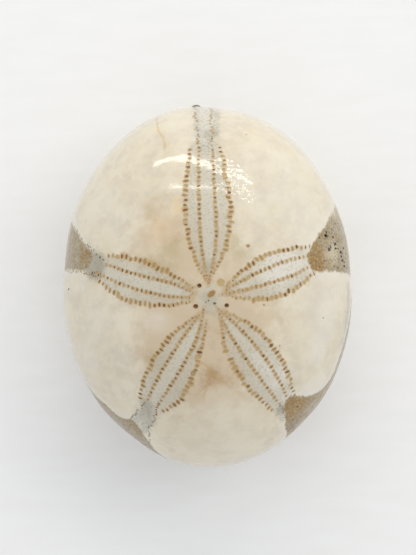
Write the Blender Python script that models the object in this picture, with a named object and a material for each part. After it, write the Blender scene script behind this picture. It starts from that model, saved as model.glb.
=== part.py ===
"""A polished fossil sand dollar: an oval, domed sea-urchin shell turned to stone, in one piece.

It lies on its flat underside. +Y points to the animal's front, where the longest petal runs, and +Z is up.
The origin is on the resting face, under the middle of the outline.
"""

import math

import bmesh
import bpy
from mathutils import Vector

MM = 0.001

# Driving dimensions of the shell: length and width are those of the oval that the rim's flats cut into
LENGTH = 50.2 * MM
WIDTH = 40.2 * MM
HEIGHT = 27.0 * MM
RIM_HEIGHT = 10.0 * MM  # height of the widest line above the resting face
DOME_FULLNESS = 0.12  # how far the shoulders stand out from a plain half ellipsoid
FLAT_SHARE = 0.62  # outer edge of the resting face, as a share of the outline
DISH_SHARE = 0.40  # outer edge of the shallow dish round the mouth
DISH_DEPTH = 1.2 * MM

# The rim is ground a little flat where each ray of the star meets it
RIM_FLATS = (8, 87, 149, 208, 280)  # bearings in degrees, clockwise from the front
RIM_FLAT_DEPTH = 0.014  # as a share of the outline's reach
RIM_FLAT_SPREAD = 10.0  # degrees

# The star's middle, from the middle of the outline
STAR_X = 0.42 * MM
STAR_Y = -1.36 * MM

# Each petal: its bearing, then each row of pores from left to right as seen from the star's middle.
# A row has where it starts, is widest and ends, and its distance from the petal's midline at each.
PETALS = {
    "front": {
        "bearing": -0.4,
        "outer_left": ((3.0, 10.8, 19.7), (-0.9, -2.9, -2.0)),
        "inner_left": ((2.6, 9.3, 19.9), (-0.4, -1.1, -0.8)),
        "inner_right": ((2.6, 10.0, 19.9), (0.1, 1.1, 0.9)),
        "outer_right": ((3.2, 10.7, 19.8), (0.6, 3.0, 2.0)),
    },
    "front_right": {
        "bearing": 72.0,
        "outer_left": ((3.1, 9.6, 15.1), (-1.0, -2.6, -1.5)),
        "inner_left": ((2.8, 10.1, 14.5), (-0.3, -1.0, -0.6)),
        "inner_right": ((2.6, 11.3, 13.9), (0.3, 1.1, 0.6)),
        "outer_right": ((2.9, 8.9, 15.0), (1.0, 3.0, 1.2)),
    },
    "back_right": {
        "bearing": 146.7,
        "outer_left": ((3.5, 10.3, 17.2), (-0.8, -2.9, -1.5)),
        "inner_left": ((2.9, 11.1, 16.7), (-0.1, -1.1, -0.5)),
        "inner_right": ((3.1, 8.1, 16.4), (0.5, 1.0, 0.9)),
        "outer_right": ((4.0, 11.0, 17.1), (1.2, 3.0, 2.0)),
    },
    "back_left": {
        "bearing": 210.5,
        "outer_left": ((4.1, 13.2, 16.4), (-1.3, -3.0, -1.6)),
        "inner_left": ((2.9, 7.6, 15.8), (-0.2, -1.1, -0.7)),
        "inner_right": ((3.5, 12.9, 16.1), (0.3, 1.0, 0.9)),
        "outer_right": ((3.8, 11.8, 16.4), (0.9, 2.7, 1.8)),
    },
    "front_left": {
        "bearing": 284.3,
        "outer_left": ((3.2, 9.5, 14.9), (-1.5, -2.9, -1.1)),
        "inner_left": ((3.4, 7.4, 15.6), (-0.8, -1.2, -0.1)),
        "inner_right": ((3.0, 7.0, 14.5), (0.2, 0.7, 1.2)),
        "outer_right": ((3.2, 12.2, 14.4), (1.0, 2.7, 2.3)),
    },
}

# Pores: spacing along a row, then half length across the row, half width along it, and depth
PORE_PITCH = 0.68 * MM
INNER_PORE = (0.19 * MM, 0.15 * MM, 0.22 * MM)
OUTER_PORE = (0.33 * MM, 0.14 * MM, 0.22 * MM)
PORE_SIDES = 4

# The four egg pores round the star's middle and the sieve plate in it: across, ahead, radius
DISC_PORES = (
    (-1.48, 1.55, 0.30),
    (1.35, 1.87, 0.45),
    (-2.05, -1.15, 0.32),
    (2.01, -1.17, 0.30),
    (0.04, 0.41, 0.50),
)
DISC_PORE_DEPTH = 0.25 * MM
DISC_PORE_SIDES = 8

# Underside: the mouth and its ring of short pore rows, and the vent under the back
MOUTH_Y = 2.6 * MM
MOUTH_RADIUS = 2.1 * MM
MOUTH_DEPTH = 1.6 * MM
MOUTH_PORE_START = 3.4 * MM
MOUTH_PORES_A_ROW = 4
MOUTH_ROW_SPREAD = 0.55 * MM
VENT_Y = -19.4 * MM
VENT_HALF_WIDTH = 1.9 * MM
VENT_HALF_HEIGHT = 1.1 * MM
VENT_DEPTH = 1.2 * MM

# Facets of the solid
SECTORS = 60
DOME_RINGS = 13
UNDER_RINGS = 6
DISH_RINGS = 3

SHELL_COLOUR = (0.79, 0.72, 0.59, 1.0)
SHELL_ROUGHNESS = 0.2


def clear_scene():
    for obj in list(bpy.data.objects):
        bpy.data.objects.remove(obj)


def rim_factor(x, y, share):
    """How far the outline is drawn in at this bearing: nothing on the dome's top, all of it at the rim."""
    bearing = math.degrees(math.atan2(x, y))
    pull = 0.0
    for flat in RIM_FLATS:
        away = (bearing - flat + 180) % 360 - 180
        pull += math.exp(-((away / RIM_FLAT_SPREAD) ** 2))
    return 1 - RIM_FLAT_DEPTH * pull * share**6


def shell_point(turn, share, z):
    """A point of the shell, at a share of the outline's reach, turned from the front."""
    x = WIDTH / 2 * share * math.sin(turn)
    y = LENGTH / 2 * share * math.cos(turn)
    factor = rim_factor(x, y, share)
    return Vector((x * factor, y * factor, z))


def dome_height(x, y):
    """Height of the dome over a place in plan."""
    reach = min((x / (WIDTH / 2)) ** 2 + (y / (LENGTH / 2)) ** 2, 1.0)
    rise = (HEIGHT - RIM_HEIGHT) * math.sqrt(1 - reach) * (1 + DOME_FULLNESS * reach)
    return RIM_HEIGHT + rise


def dome_frame(x, y):
    """The dome's point over a place in plan, and its outward direction there."""
    step = 0.05 * MM
    slope_x = (dome_height(x + step, y) - dome_height(x - step, y)) / (2 * step)
    slope_y = (dome_height(x, y + step) - dome_height(x, y - step)) / (2 * step)
    return Vector((x, y, dome_height(x, y))), Vector((-slope_x, -slope_y, 1)).normalized()


def dish_height(share):
    """Height of the underside inside the resting face."""
    return DISH_DEPTH * (1 - (share / DISH_SHARE) ** 2) ** 2


def shell_stations():
    """(share of the outline, height) of each ring, from just off the dome's top to just off the dish's middle."""
    stations = []
    for ring in range(1, DOME_RINGS + 1):
        share = math.sin(math.pi / 2 * ring / DOME_RINGS)
        stations.append((share, dome_height(WIDTH / 2 * share, 0)))
    for ring in range(1, UNDER_RINGS + 1):
        turn = math.pi / 2 * ring / UNDER_RINGS
        share = FLAT_SHARE + (1 - FLAT_SHARE) * math.cos(turn)
        stations.append((share, RIM_HEIGHT * (1 - math.sin(turn)) if ring < UNDER_RINGS else 0.0))
    for ring in range(DISH_RINGS):
        share = DISH_SHARE * (1 - ring / DISH_RINGS)
        stations.append((share, dish_height(share)))
    return stations


def make_shell_mesh():
    bm = bmesh.new()
    top = bm.verts.new((0, 0, HEIGHT))
    rings = []
    for share, z in shell_stations():
        turns = [2 * math.pi * k / SECTORS for k in range(SECTORS)]
        rings.append([bm.verts.new(shell_point(turn, share, z)) for turn in turns])
    bottom = bm.verts.new((0, 0, DISH_DEPTH))
    for k in range(SECTORS):
        after = (k + 1) % SECTORS
        bm.faces.new((top, rings[0][k], rings[0][after]))
        for upper, lower in zip(rings, rings[1:]):
            bm.faces.new((upper[k], lower[k], lower[after], upper[after]))
        bm.faces.new((rings[-1][k], bottom, rings[-1][after]))
    bmesh.ops.recalc_face_normals(bm, faces=bm.faces)
    mesh = bpy.data.meshes.new("sand_dollar")
    bm.to_mesh(mesh)
    bm.free()
    return mesh


def row_offset(along, places, offsets):
    """Distance of a row from its petal's midline: two half parabolas that meet where the petal is widest."""
    start, widest, end = places
    at_start, at_widest, at_end = offsets
    if along < widest:
        return at_widest - (at_widest - at_start) * ((widest - along) / (widest - start)) ** 2
    return at_widest - (at_widest - at_end) * ((along - widest) / (end - widest)) ** 2


def row_place(bearing, along, across):
    """Place in plan, from a distance along a petal and one across it, in millimetres."""
    turn = math.radians(bearing)
    x = along * math.sin(turn) + across * math.cos(turn)
    y = along * math.cos(turn) - across * math.sin(turn)
    return STAR_X + x * MM, STAR_Y + y * MM


def row_pores(bearing, places, offsets):
    """Points on the dome along one row, PORE_PITCH apart over the surface, each with the row's direction."""
    start, _, end = places
    samples = 400
    line = []
    for k in range(samples + 1):
        along = start + (end - start) * k / samples
        x, y = row_place(bearing, along, row_offset(along, places, offsets))
        line.append(dome_frame(x, y)[0])
    pores = []
    travelled = 0.0
    for before, here in zip(line, line[1:]):
        travelled += (here - before).length
        if travelled >= PORE_PITCH * len(pores):
            pores.append((here, (here - before).normalized()))
    return pores


def add_pit(bm, centre, outward, along, half_across, half_along, depth, sides):
    """A spindle on the surface, pointed at both ends, whose inner half cuts a pit."""
    across = outward.cross(along).normalized()
    forward = across.cross(outward)
    rim = []
    for k in range(sides):
        turn = 2 * math.pi * k / sides
        offset = across * (half_across * math.cos(turn)) + forward * (half_along * math.sin(turn))
        rim.append(bm.verts.new(centre + offset))
    inner = bm.verts.new(centre - outward * depth)
    outer = bm.verts.new(centre + outward * depth)
    for k in range(sides):
        after = (k + 1) % sides
        bm.faces.new((rim[k], rim[after], outer))
        bm.faces.new((rim[after], rim[k], inner))


def add_petal_pits(bm):
    """The rows of pores of all five petals."""
    for petal in PETALS.values():
        for row, (places, offsets) in ((n, r) for n, r in petal.items() if n != "bearing"):
            size = OUTER_PORE if row.startswith("outer") else INNER_PORE
            for point, along in row_pores(petal["bearing"], places, offsets):
                outward = dome_frame(point.x, point.y)[1]
                add_pit(bm, point, outward, along, *size, PORE_SIDES)


def add_disc_pits(bm):
    """The egg pores and the sieve plate in the star's middle."""
    for across, ahead, radius in DISC_PORES:
        point, outward = dome_frame(STAR_X + across * MM, STAR_Y + ahead * MM)
        add_pit(
            bm, point, outward, Vector((0, 1, 0)), radius * MM, radius * MM, DISC_PORE_DEPTH, DISC_PORE_SIDES
        )


def add_mouth(bm):
    """The five-sided mouth in the dish, and a double row of pores leading out from each of its corners."""
    down = Vector((0, 0, -1))
    share = MOUTH_Y / (LENGTH / 2)
    mouth = Vector((0, MOUTH_Y, dish_height(share)))
    add_pit(bm, mouth, down, Vector((0, 1, 0)), MOUTH_RADIUS, MOUTH_RADIUS, MOUTH_DEPTH, 10)
    for petal in PETALS.values():
        turn = math.radians(petal["bearing"])
        ahead = Vector((math.sin(turn), math.cos(turn), 0))
        aside = Vector((ahead.y, -ahead.x, 0))
        for side in (-1, 1):
            for k in range(MOUTH_PORES_A_ROW):
                reach = MOUTH_PORE_START + k * PORE_PITCH
                place = mouth + ahead * reach + aside * (side * MOUTH_ROW_SPREAD)
                share = math.hypot(place.x / (WIDTH / 2), place.y / (LENGTH / 2))
                place.z = dish_height(min(share, DISH_SHARE))
                add_pit(bm, place, down, ahead, *INNER_PORE, PORE_SIDES)


def add_vent(bm):
    """The oval vent in the slope under the back."""
    share = -VENT_Y / (LENGTH / 2)
    turn = math.acos((share - FLAT_SHARE) / (1 - FLAT_SHARE))
    z = RIM_HEIGHT * (1 - math.sin(turn))
    half_run = (1 - FLAT_SHARE) * LENGTH / 2
    outward = Vector((0, -math.cos(turn) / half_run, -math.sin(turn) / RIM_HEIGHT)).normalized()
    centre = Vector((0, VENT_Y, z))
    add_pit(
        bm, centre, outward, Vector((0, 1, 0)), VENT_HALF_WIDTH, VENT_HALF_HEIGHT, VENT_DEPTH, 12
    )


def make_cutter():
    """One wire object that holds every pit to be cut."""
    bm = bmesh.new()
    add_petal_pits(bm)
    add_disc_pits(bm)
    add_mouth(bm)
    add_vent(bm)
    bmesh.ops.recalc_face_normals(bm, faces=bm.faces)
    mesh = bpy.data.meshes.new("pit_cutter")
    bm.to_mesh(mesh)
    bm.free()
    cutter = bpy.data.objects.new("pit_cutter", mesh)
    cutter.display_type = "WIRE"
    cutter.hide_render = True
    bpy.context.scene.collection.objects.link(cutter)
    return cutter


def make_shell_material():
    material = bpy.data.materials.new("polished_fossil_calcite")
    material.use_nodes = True
    surface = material.node_tree.nodes["Principled BSDF"]
    surface.inputs["Base Color"].default_value = SHELL_COLOUR
    surface.inputs["Roughness"].default_value = SHELL_ROUGHNESS
    surface.inputs["Metallic"].default_value = 0.0
    return material


def make_sand_dollar():
    shell = bpy.data.objects.new("sand_dollar", make_shell_mesh())
    bpy.context.scene.collection.objects.link(shell)
    shell.data.materials.append(make_shell_material())
    shell.data.shade_smooth()
    shell.data.set_sharp_from_angle(angle=math.radians(30))
    pits = shell.modifiers.new("pits", "BOOLEAN")
    pits.operation = "DIFFERENCE"
    pits.solver = "EXACT"
    pits.object = make_cutter()
    return shell


clear_scene()
make_sand_dollar()
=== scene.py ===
# Polished fossil sand dollar on a pale board: the finish of the stone, its pores, stains and worn patches.
import math
from functools import partial

import bpy
import numpy as np
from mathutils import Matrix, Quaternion, Vector, kdtree


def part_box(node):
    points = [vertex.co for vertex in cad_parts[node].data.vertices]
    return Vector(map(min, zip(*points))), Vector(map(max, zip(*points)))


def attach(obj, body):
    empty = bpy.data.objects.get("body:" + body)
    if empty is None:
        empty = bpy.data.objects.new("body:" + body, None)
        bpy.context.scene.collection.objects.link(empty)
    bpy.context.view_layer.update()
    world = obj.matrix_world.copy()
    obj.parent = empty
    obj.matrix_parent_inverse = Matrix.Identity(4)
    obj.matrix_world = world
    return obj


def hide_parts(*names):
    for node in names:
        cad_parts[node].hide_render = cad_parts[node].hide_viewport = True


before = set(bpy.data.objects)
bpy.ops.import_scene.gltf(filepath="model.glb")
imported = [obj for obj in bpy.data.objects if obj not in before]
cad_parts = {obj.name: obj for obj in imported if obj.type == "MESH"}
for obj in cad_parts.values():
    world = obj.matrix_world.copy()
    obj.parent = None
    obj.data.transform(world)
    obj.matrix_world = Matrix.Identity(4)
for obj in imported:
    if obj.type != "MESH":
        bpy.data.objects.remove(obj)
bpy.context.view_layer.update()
boxLow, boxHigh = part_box("sand_dollar")
mm = (boxHigh.y - boxLow.y) / 50.015  # a millimetre of the fossil at its packed length
print("frame loaded, millimetre is", round(mm, 6))


def linear(hexColour):
    channels = [int(hexColour[i : i + 2], 16) / 255 for i in (1, 3, 5)]
    return [c / 12.92 if c <= 0.04045 else ((c + 0.055) / 1.055) ** 2.4 for c in channels] + [1.0]


# Adds a node, sets its properties, then links or fills its inputs. "stops" fills a colour ramp.
def addNode(tree, kind, settings=None, inputs=None):
    node = tree.nodes.new(kind)
    for name, value in (settings or {}).items():
        if name == "stops":
            ramp = node.color_ramp.elements
            while len(ramp) < len(value):
                ramp.new(1.0)
            for element, (place, colour) in zip(ramp, value):
                element.position, element.color = place, linear(colour)
        else:
            setattr(node, name, value)
    for socket, value in (inputs or {}).items():
        if isinstance(value, bpy.types.Node):
            value = value.outputs[0]
        if isinstance(value, bpy.types.NodeSocket):
            tree.links.new(value, node.inputs[socket])
        else:
            node.inputs[socket].default_value = value
    return node


# Math nodes from steps like "result = operation operands", each operand a number or the name of an earlier result
def addSteps(tree, known, steps):
    for step in filter(str.strip, steps.replace("\n", ";").split(";")):
        name, _, operation, *operands = step.split()
        filled = {i: known[word] if word in known else float(word) for i, word in enumerate(operands)}
        known[name] = addNode(tree, "ShaderNodeMath", {"operation": operation.upper()}, filled)


# A setting's name as the label of its socket: "halfAcross" becomes "Half Across"
def label(name):
    return "".join(" " + letter if letter.isupper() else letter for letter in name).title()


socketKinds = {int: "Int", float: "Float", bpy.types.Object: "Object", bpy.types.Material: "Material"}


# An empty tree with an input for each setting, and those inputs under the settings' names
def startGeometryTree(name, settings):
    tree = bpy.data.node_groups.new(name, "GeometryNodeTree")
    for way in ("INPUT", "OUTPUT"):
        tree.interface.new_socket("Geometry", in_out=way, socket_type="NodeSocketGeometry")
    for setting, value in settings.items():
        kind = "NodeSocket" + socketKinds[type(value)]
        tree.interface.new_socket(label(setting), in_out="INPUT", socket_type=kind)
    given = addNode(tree, "NodeGroupInput")
    return tree, {setting: given.outputs[label(setting)] for setting in ("geometry", *settings)}


def endGeometryTree(tree, made, material):
    for kind in ("GeometryNodeRealizeInstances", "GeometryNodeSetShadeSmooth"):
        made = addNode(tree, kind, None, {0: made})
    made = addNode(tree, "GeometryNodeSetMaterial", None, {"Geometry": made, "Material": material})
    addNode(tree, "NodeGroupOutput", None, {0: made})


# The mesh that a tree makes on a host object, with the tree's inputs set by their identifiers
def runTree(host, tree, settings):
    values = {label(name): value for name, value in settings.items()}
    modifier = host.modifiers.new(tree.name, "NODES")
    modifier.node_group = tree
    for item in tree.interface.items_tree:
        if item.in_out == "INPUT" and item.name in values:
            modifier[item.identifier] = values[item.name]
    graph = bpy.context.evaluated_depsgraph_get()
    made = bpy.data.meshes.new_from_object(host.evaluated_get(graph), depsgraph=graph)
    host.modifiers.remove(modifier)
    return made


# A material with its tree, its surface node and a place in millimetres, drawn out by a stretch along x, y and z
def startMaterial(name, stretch=(1, 1, 1)):
    material = bpy.data.materials.new(name)
    material.use_nodes = True
    tree = material.node_tree
    place = addNode(tree, "ShaderNodeTexCoord").outputs["Object"]
    scale = Vector(stretch) / mm
    spot = addNode(tree, "ShaderNodeVectorMath", {"operation": "MULTIPLY"}, {0: place, 1: scale})
    return material, tree, tree.nodes["Principled BSDF"], spot


def addObject(name, data):
    made = bpy.data.objects.new(name, data)
    bpy.context.scene.collection.objects.link(made)
    return made


# Shell form: a cube rounded into the shell by its formula, with slow waves left by hand polishing.
# Turns are in degrees, clockwise from the front. Reach is 0 at the top, 1 at the rim and 2 in the middle underneath.
shellForm = {
    "facets": 92,  # quads along each edge of the cube
    "ovalLength": 1.0037,  # the oval that the rim's flats cut into, over the finished size
    "ovalWidth": 1.0077,
    "rimHeight": 10.0,
    "domeFullness": 0.12,
    "roundedPart": 0.52,  # of the way from the rim to the middle underneath
    "flatShare": 0.62,
    "dishShare": 0.40,
    "dishDepth": 1.2,
    "rimFlats": (8, 87, 149, 208, 280),
    "rimFlatDepth": 0.014,
    "rimFlatSpread": 10.0,
    "waveHeight": 0.10,
    "waveWidth": 7.0,
    "waveSeed": 2.0,
    "waveStart": 1.5,  # the waves fade out below, and the resting face stays flat
    "waveFull": 7.0,
}
halfLength = (boxHigh.y - boxLow.y) / 2 * shellForm["ovalLength"]
halfWidth = (boxHigh.x - boxLow.x) / 2 * shellForm["ovalWidth"]
topHeight = boxHigh.z
rimHeight = shellForm["rimHeight"] * mm
dishDepth = shellForm["dishDepth"] * mm


def buildShellForm(stone):
    settings = {"facets": shellForm["facets"] + 1, "halfWidth": halfWidth, "halfLength": halfLength,
                "height": topHeight, "rimHeight": rimHeight, "dishDepth": dishDepth, "stone": stone}
    for name in ("domeFullness", "roundedPart", "flatShare", "dishShare", "rimFlatDepth", "rimFlatSpread", "waveSeed"):
        settings[name] = shellForm[name]
    for name in ("waveHeight", "waveWidth", "waveStart", "waveFull"):
        settings[name] = shellForm[name] * mm
    tree, known = startGeometryTree("shell form", settings)
    add, work = partial(addNode, tree), partial(addSteps, tree, known)
    cube = add("GeometryNodeMeshCube", None, {
        "Size": (2, 2, 2), **{"Vertices " + axis: known["facets"] for axis in "XYZ"},
    })
    even = add("GeometryNodeInputPosition")
    for operation, more in (("SCALE", {"Scale": math.pi / 4}), ("TANGENT", {}), ("NORMALIZE", {})):
        even = add("ShaderNodeVectorMath", {"operation": operation}, {0: even, **more})
    direction = add("ShaderNodeSeparateXYZ", None, {0: even}).outputs
    known.update(dx=direction[0], dy=direction[1], dz=direction[2], quarter=math.pi / 2)
    work("""
        dx2 = multiply dx dx; across2 = multiply_add dy dy dx2; across = sqrt across2; safe = maximum across 1e-6
        sine = divide dx safe; cosine = divide dy safe
        up = maximum dz 0; rise = subtract height rimHeight; full = multiply_add across2 domeFullness 1
        dome = multiply rise up; dome = multiply_add dome full rimHeight
        under = multiply dz -1; under = maximum under 0; down = arcsine under; down = divide down quarter
        curl = divide down roundedPart; curl = minimum curl 1; curl = multiply curl quarter
        curlCos = cosine curl; curlSin = sine curl
        edgeShare = subtract 1 flatShare; lowShare = multiply_add curlCos edgeShare flatShare
        past = subtract down roundedPart; past = maximum past 0; rest = subtract 1 roundedPart; past = divide past rest
        inward = subtract 1 past; lowShare = multiply lowShare inward
        dish = divide lowShare dishShare; dish = multiply dish dish; dish = subtract 1 dish
        dish = maximum dish 0; dish = multiply dish dish
        curlRise = subtract 1 curlSin; lowHeight = multiply curlRise rimHeight
        lowHeight = multiply_add dish dishDepth lowHeight
        isUp = greater_than dz 0; shareStep = subtract across lowShare; share = multiply_add isUp shareStep lowShare
        heightStep = subtract dome lowHeight; z = multiply_add isUp heightStep lowHeight
        x = multiply halfWidth share; x = multiply x sine; y = multiply halfLength share; y = multiply y cosine
        bearing = arctan2 x y; bearing = degrees bearing; pull = add 0 0
    """)
    for turn in shellForm["rimFlats"]:
        work(f"""
            away = subtract bearing {turn}; away = wrap away 180 -180; away = divide away rimFlatSpread
            away = multiply away away; away = multiply away -1; away = exponent away; pull = add pull away
    """)
    work("""
        nearRim = power share 6; pull = multiply pull rimFlatDepth; pull = multiply pull nearRim
        factor = subtract 1 pull; x = multiply x factor; y = multiply y factor; waveScale = divide 1 waveWidth
    """)
    spot = add("ShaderNodeCombineXYZ", None, {0: known["x"], 1: known["y"], 2: known["z"]})
    formed = add("GeometryNodeSetPosition", None, {"Geometry": cube, "Position": spot})
    place = add("GeometryNodeInputPosition")
    known["wave"] = add("ShaderNodeTexNoise", {"normalize": False, "noise_dimensions": "4D"}, {
        "Vector": place, "W": known["waveSeed"], "Scale": known["waveScale"], "Detail": 1.5, "Roughness": 0.45,
    })
    height = add("ShaderNodeSeparateXYZ", None, {0: place}).outputs[2]
    known["fade"] = add("ShaderNodeMapRange", {"interpolation_type": "SMOOTHSTEP"}, {
        0: height, 1: known["waveStart"], 2: known["waveFull"], 3: 0.0, 4: 1.0,
    })
    work("wave = multiply wave waveHeight; wave = multiply wave fade")
    push = add("ShaderNodeVectorMath", {"operation": "SCALE"}, {
        0: add("GeometryNodeInputNormal"), "Scale": known["wave"],
    })
    waved = add("GeometryNodeSetPosition", None, {"Geometry": formed, "Offset": push})
    endGeometryTree(tree, waved, known["stone"])
    host = addObject("shell_form", bpy.data.meshes.new("shell_form"))
    made = runTree(host, tree, settings)
    bpy.data.objects.remove(host)
    return made


# Places on the shell, by formula and in millimetres
def shellPoint(turn, reach):
    sine, cosine = math.sin(math.radians(turn)), math.cos(math.radians(turn))
    if reach <= 1:
        share, up = math.sin(reach * math.pi / 2), math.cos(reach * math.pi / 2)
        z = rimHeight + (topHeight - rimHeight) * up * (1 + shellForm["domeFullness"] * share**2)
    else:
        down = reach - 1
        curl = min(down / shellForm["roundedPart"], 1) * math.pi / 2
        past = max(down - shellForm["roundedPart"], 0) / (1 - shellForm["roundedPart"])
        flat = shellForm["flatShare"]
        share = (flat + (1 - flat) * math.cos(curl)) * (1 - past)
        z = rimHeight * (1 - math.sin(curl)) + dishDepth * max(0, 1 - (share / shellForm["dishShare"]) ** 2) ** 2
    return Vector((halfWidth * share * sine, halfLength * share * cosine, z)) / mm


def domeHeight(x, y):
    share2 = min((x * mm / halfWidth) ** 2 + (y * mm / halfLength) ** 2, 1)
    rise = (topHeight - rimHeight) * math.sqrt(1 - share2) * (1 + shellForm["domeFullness"] * share2)
    return (rimHeight + rise) / mm


# The star of five petals, in millimetres from its middle. A row's first three numbers are how far along the petal
# it starts, is widest and ends, and the next three its distance from the petal's midline there. Bend is how far the
# midline itself swings to the right at half way and at the tip. Boldness is how dark its pores are, in the
# star and beyond it.
star = {"x": 0.42, "y": -1.36}
tipStep = 0.6  # how far a row's guide starts before its first pore, and a trail past its petal's last
petals = {
    "front": {"bearing": -0.4, "rimTurn": 0.5, "boldness": (1.0, 0.5), "trails": ([], []), "rows": {
        "outerLeft": (2.97, 10.77, 19.69, -0.91, -2.87, -2.03),
        "innerLeft": (2.51, 9.34, 19.92, -0.42, -1.09, -0.79),
        "innerRight": (2.42, 10.04, 18.58, -0.06, 1.08, 1.00),
        "outerRight": (3.31, 10.69, 19.81, 0.59, 2.97, 1.97),
    }},
    "frontRight": {"bearing": 72.0, "rimTurn": 78.7, "boldness": (0.75, 4.0), "trails": ([], []), "rows": {
        "outerLeft": (3.06, 9.61, 15.09, -0.98, -2.64, -1.51),
        "innerLeft": (2.84, 10.14, 14.45, -0.32, -1.03, -0.56),
        "innerRight": (2.12, 11.28, 13.90, 0.27, 1.06, 0.54),
        "outerRight": (2.88, 8.86, 14.99, 1.03, 2.97, 1.24),
    }},
    "backRight": {"bearing": 146.7, "rimTurn": 141.7, "boldness": (0.75, 4.0), "trails": ([], []), "rows": {
        "outerLeft": (3.45, 10.34, 17.23, -0.85, -2.86, -1.52),
        "innerLeft": (2.46, 11.12, 16.66, -0.01, -1.15, -0.52),
        "innerRight": (3.12, 8.12, 16.39, 0.49, 0.96, 0.86),
        "outerRight": (4.01, 10.95, 17.08, 1.22, 2.98, 2.05),
    }},
    "backLeft": {"bearing": -149.5, "rimTurn": 213.5, "boldness": (1.9, 4.0), "trails": (
        [(210.3, 0.509), (209.0, 0.574), (209.7, 0.683), (207.0, 0.79)],
        [(215.8, 0.546), (216.9, 0.586), (217.6, 0.68)],
    ), "rows": {
        "outerLeft": (4.05, 13.25, 16.40, -1.28, -3.04, -1.61),
        "innerLeft": (2.55, 7.63, 15.81, -0.16, -1.08, -0.69),
        "innerRight": (3.50, 12.93, 16.07, 0.29, 1.05, 0.87),
        "outerRight": (3.81, 11.84, 16.41, 0.87, 2.74, 1.79),
    }},
    "frontLeft": {"bearing": -75.7, "rimTurn": 281.5, "boldness": (1.3, 3.0), "trails": (
        [(275.7, 0.506), (276.6, 0.561), (276.8, 0.641), (276.4, 0.784)],
        [(283.6, 0.488), (286.4, 0.596), (289.0, 0.702), (291.4, 0.81)],
    ), "rows": {
        "outerLeft": (3.20, 9.49, 14.93, -1.47, -2.85, -1.14),
        "innerLeft": (3.37, 7.40, 15.57, -0.79, -1.21, -0.10),
        "innerRight": (3.03, 7.01, 14.45, 0.20, 0.73, 1.23),
        "outerRight": (3.20, 12.22, 14.41, 0.97, 2.72, 2.28),
    }},
}


def rowOffset(row, along):
    start, widest, end, atStart, atWidest, atEnd = row
    nearer = (widest - along) / (widest - start)
    further = (along - widest) / (end - widest)
    return np.where(
        along < widest, atWidest - (atWidest - atStart) * nearer**2, atWidest - (atWidest - atEnd) * further**2
    )


def petalPlace(petal, along, across):
    turn = math.radians(petal["bearing"])
    x = star["x"] + along * math.sin(turn) + across * math.cos(turn)
    y = star["y"] + along * math.cos(turn) - across * math.sin(turn)
    return Vector((x, y, domeHeight(x, y)))


# Guide curves for rows of pores, one spline a row: each a list of places and a boldness, kept as the points' radius
def guideCurves(name, lines):
    data = bpy.data.curves.new(name, "CURVE")
    data.dimensions = "3D"
    for line, boldness in lines:
        spline = data.splines.new("POLY")
        spline.points.add(len(line) - 1)
        for point, place in zip(spline.points, line):
            point.co = (*(place * mm), 1.0)
            point.radius = boldness
    return addObject(name, data)


def petalRows(side):
    lines = []
    for petal in petals.values():
        for name, row in petal["rows"].items():
            if name.startswith(side):
                spots = np.linspace(row[0] - tipStep, row[2], 48)
                places = [petalPlace(petal, along, float(rowOffset(row, along))) for along in spots]
                lines.append((places, petal["boldness"][0]))
    return lines


mouth = {"y": 2.6, "radius": 2.1, "rowStart": 3.1, "rowEnd": 6.4, "rowSpread": 0.6, "rowBow": 0.9, "depth": 1.3}
trail = {"halfGap": 3.4, "onTop": 16, "overRim": 12, "underneath": 12, "rimReach": 0.5}  # degrees, then steps


# From each petal's tip two rows of fine pores run over the rim and on underneath to the mouth
def trailRows():
    lines = []
    for petal in petals.values():
        for side, name, way in ((-1, "innerLeft", petal["trails"][0]), (1, "innerRight", petal["trails"][1])):
            row, rimTurn = petal["rows"][name], petal["rimTurn"] + side * trail["halfGap"]
            corners = [petalPlace(petal, row[2] + tipStep, row[5]), *(shellPoint(*place) for place in way)]
            corners.append(shellPoint(rimTurn, 1))
            line, count = [], trail["onTop"]
            for a, b in zip(corners, corners[1:]):
                for k in range(count):
                    x, y = a.x + (b.x - a.x) * k / count, a.y + (b.y - a.y) * k / count
                    line.append(Vector((x, y, domeHeight(x, y))))
            count = trail["overRim"]
            line += [shellPoint(rimTurn, 1 + trail["rimReach"] * k / count) for k in range(count + 1)]
            low, count = line[-1], trail["underneath"]
            turn = math.atan2(low.x, low.y - mouth["y"])
            end = Vector((math.sin(turn), math.cos(turn), 0)) * mouth["rowEnd"] + Vector((0, mouth["y"], 0))
            line += [low.lerp(end, k / count) for k in range(1, count + 1)]
            lines.append((line, petal["boldness"][1]))
    return lines


def mouthRows():
    lines = []
    for petal in petals.values():
        turn = math.radians(petal["rimTurn"])
        ahead, aside = Vector((math.sin(turn), math.cos(turn), 0)), Vector((math.cos(turn), -math.sin(turn), 0))
        for side in (-1, 1):
            bow = [(mouth["rowStart"] + (mouth["rowEnd"] - mouth["rowStart"]) * k / 10,
                    mouth["rowSpread"] * (1 + mouth["rowBow"] * math.sin(math.pi * k / 10))) for k in range(11)]
            places = [Vector((0, mouth["y"], 0)) + ahead * far + aside * side * wide for far, wide in bow]
            lines.append((places, 1.0))
    return lines


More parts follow.
